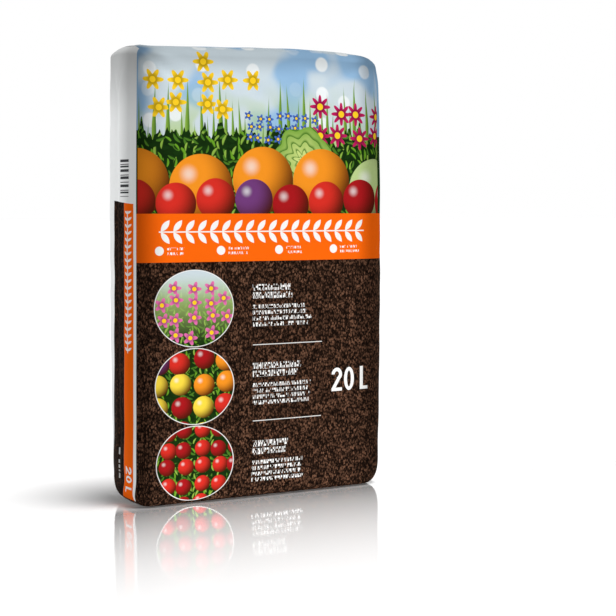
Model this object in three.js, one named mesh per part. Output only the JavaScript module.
// A sealed bag of potting compost, filled plump and standing upright on its base.
// Millimetres, +Z up. The front panel faces -Y and the gusseted sides face -X and +X.
import * as THREE from "three";
import { mergeVertices } from "three/addons/utils/BufferGeometryUtils.js";

// The filled block, before the fill pushes its panels out
const blockWidth = 352;
const blockDepth = 88;
const blockHeight = 576;

// How far the rounded edges reach along each direction
const roundAcross = 27;
const roundDeep = 15;
const roundTop = 12;
const roundBase = 37;

// How far the fill pushes each panel out at its middle
const frontBulge = 8.5;
const sideBulge = 4.5;
const topBulge = 5;

// The upper part of the height over which the top rises into its dome
const domeHeight = 170;

// The fill settles, so each side stands out further at the base and at half height
const baseSpread = 1;
const bellySpread = 3.3;

// The fold down the middle of each side gusset, which parts into two arms below the top
const foldDepth = 1.5;
const foldReach = 7;
const foldBaseGap = 30;
const foldFade = 60;
const partingDrop = 62;
const partingSpread = 27;

// The welded fin, lying flat along the top
const finHalfLength = 152;
const finHalfWidth = 10;
const finThickness = 1.2;
const finEdge = 1.2;
const finEnd = 4;

// How finely the film is divided
const roundSteps = 5;
const panelColumns = 16;
const panelRows = 24;
const partingRows = 6;

const filmColour = 0x3d2c23;
const filmRoughness = 0.4;

const halfWidth = blockWidth / 2;
const halfDepth = blockDepth / 2;
const coreLow = new THREE.Vector3(-halfWidth + roundAcross, -halfDepth + roundDeep, roundBase);
const coreHigh = new THREE.Vector3(halfWidth - roundAcross, halfDepth - roundDeep, blockHeight - roundTop);

// A value kept between 0 and 1
const share = (value) => Math.min(1, Math.max(0, value));

// 1 up to the half width, then falling to 0 over the ramp
const plateau = (value, half, ramp) => share((half + ramp - Math.abs(value)) / ramp);

// 1 in the middle, falling straight to 0 at the reach
const ridge = (value, reach) => share(1 - Math.abs(value) / reach);

// Evenly spaced values between two ends, without the ends
function between(low, high, count) {
  return Array.from({ length: count - 1 }, (_, i) => low + ((high - low) * (i + 1)) / count);
}

// Distances past the start of a rounded edge that divide its quarter turn evenly
function edgeRows(reach) {
  const angles = Array.from({ length: roundSteps }, (_, i) => ((i + 1) * Math.PI) / 4 / roundSteps);
  return angles.map((angle) => reach * Math.tan(angle));
}

// Where the mesh has its rows along one direction: over both rounded edges and between them
function rows(low, high, reachLow, reachHigh, inner) {
  const before = edgeRows(reachLow).map((distance) => low - distance);
  const after = edgeRows(reachHigh).map((distance) => high + distance);
  return [...before.reverse(), low, ...inner, high, ...after];
}

function rowsAcross() {
  return rows(coreLow.x, coreHigh.x, roundAcross, roundAcross, between(coreLow.x, coreHigh.x, panelColumns));
}

// The rows through the depth follow the edges of the fin and the fold of the gusset
function rowsDeep() {
  const outer = (finHalfWidth + coreHigh.y) / 2;
  const half = [finHalfWidth / 2, finHalfWidth, finHalfWidth + finEdge, outer];
  const inner = [...half.map((y) => -y).reverse(), 0, ...half];
  return rows(coreLow.y, coreHigh.y, roundDeep, roundDeep, inner);
}

// The rows up the height are closer together over the two arms of the fold
function rowsUp() {
  const parting = blockHeight - partingDrop;
  const lower = between(coreLow.z, parting, panelRows);
  const upper = between(parting, coreHigh.z, partingRows);
  return rows(coreLow.z, coreHigh.z, roundBase, roundTop, [...lower, parting, ...upper]);
}

// The block's edges and corners become quarter turns with their own reach along each direction
function roundEdges(point) {
  const core = point.clone().clamp(coreLow, coreHigh);
  const outward = point.clone().sub(core);
  const reach = new THREE.Vector3(roundAcross, roundDeep, outward.z > 0 ? roundTop : roundBase);
  return core.add(outward.divide(reach).normalize().multiply(reach));
}

// The fill pushes out the front, the back and the sides, lifts the top and settles towards the base
function bulge(point) {
  const across = point.x / halfWidth;
  const deep = point.y / halfDepth;
  const up = point.z / blockHeight;
  const frontPush = frontBulge * (1 - across ** 2) * (1 - (2 * up - 1) ** 4);
  const sidePush = sideBulge * (1 - deep ** 2);
  const settlePush = baseSpread * (1 - up) + bellySpread * 4 * up * (1 - up);
  const lift = share((point.z - blockHeight + domeHeight) / domeHeight) ** 2;
  const topPush = topBulge * (1 - across ** 8) * (1 - deep ** 2) * lift;
  return new THREE.Vector3(
    point.x + across * (sidePush + settlePush),
    point.y + deep * frontPush,
    point.z + topPush,
  );
}

// Each gusset keeps a fold down its middle, and its two arms run out to the top corners
function foldGussets(point, flat) {
  const across = flat.x / halfWidth;
  const above = flat.z - blockHeight + partingDrop;
  const armOffset = partingSpread * share(above / partingDrop);
  const strength = share((flat.z - foldBaseGap) / foldFade) * ridge(Math.max(0, above), partingDrop);
  const fold = foldDepth * strength * ridge(Math.abs(flat.y) - armOffset, foldReach);
  point.x -= Math.sign(across) * across ** 8 * fold;
  return point;
}

// The weld closes the bag in a flat fin along the top
function raiseFin(point, flat) {
  const onTop = flat.z > blockHeight - roundTop ? 1 : 0;
  const along = plateau(flat.x, finHalfLength, finEnd);
  const wide = plateau(flat.y, finHalfWidth, finEdge);
  point.z += finThickness * onTop * along * wide;
  return point;
}

function filmPoint(boxPoint) {
  const rounded = roundEdges(boxPoint);
  return raiseFin(foldGussets(bulge(rounded), rounded), rounded);
}

// The film is a box whose rows are moved to their places and then shaped by the fill
function makeFilm() {
  const across = rowsAcross();
  const deep = rowsDeep();
  const up = rowsUp();
  const count = [across.length - 1, deep.length - 1, up.length - 1];
  const box = new THREE.BoxGeometry(1, 1, 1, ...count);
  box.deleteAttribute("normal");
  box.deleteAttribute("uv");
  const place = box.getAttribute("position");
  const row = (value, steps) => Math.round((value + 0.5) * steps);
  for (let i = 0; i < place.count; i++) {
    const x = across[row(place.getX(i), count[0])];
    const y = deep[row(place.getY(i), count[1])];
    const z = up[row(place.getZ(i), count[2])];
    const point = filmPoint(new THREE.Vector3(x, y, z));
    place.setXYZ(i, point.x, point.y, point.z);
  }
  const film = mergeVertices(box, 1e-3);
  film.computeVertexNormals();
  return film;
}

function makeBag() {
  const material = new THREE.MeshStandardMaterial({ color: filmColour, roughness: filmRoughness });
  const bag = new THREE.Mesh(makeFilm(), material);
  bag.name = "compost_bag";
  return bag;
}

const part = new THREE.Group();
part.add(makeBag());

export default part;
